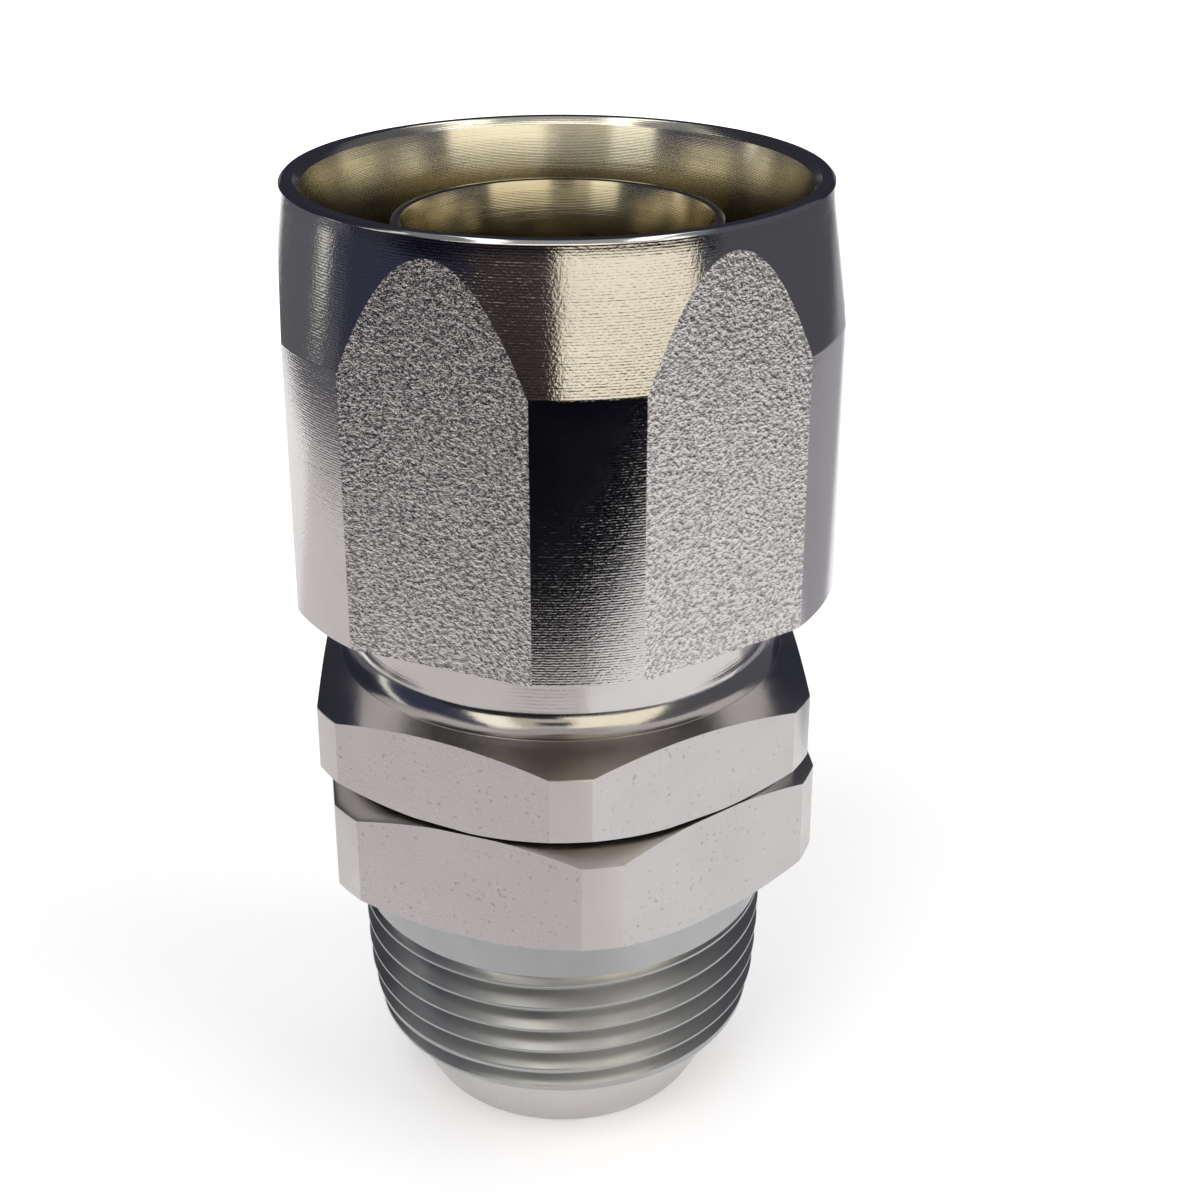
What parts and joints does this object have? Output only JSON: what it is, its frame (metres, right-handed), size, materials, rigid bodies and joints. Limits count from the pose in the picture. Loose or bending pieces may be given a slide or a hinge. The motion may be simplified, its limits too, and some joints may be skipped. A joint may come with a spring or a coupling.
{
  "type": "hose terminal fitting",
  "caption": "Reusable hydraulic hose terminal: hexagon socket with hose mouth, hexagon insert with nipple, and a swivelling threaded end with a coned nose.",
  "frame": {"origin": "on the axis, at the end face of the nose below the thread", "axes": "+Z along the axis from the threaded end to the hose mouth, -Y the front of the picture, +X to its right"},
  "size_m": [0.0422, 0.0434, 0.0775],
  "materials": {
    "plated_bar": "bright plated hexagon bar, pitted as-rolled flats, turned corners",
    "plated_turned": "bright plated, fine turning lines",
    "plated_end": "bright plated, machined thread",
    "spring_steel": "dark spring steel",
    "black_rubber": "matt black rubber"
  },
  "bodies": {
    "port_end": {"threaded_end": "plated_end"},
    "hose_end": {"socket": "plated_bar", "insert": "plated_turned", "snap_ring": "spring_steel", "o_ring": "black_rubber"}
  },
  "joints": [
    {"name": "swivel", "type": "hinge", "parent": "port_end", "child": "hose_end", "pos_m": [0, 0, 0.0227], "axis": [0, 0, 1], "continuous": true}
  ]
}
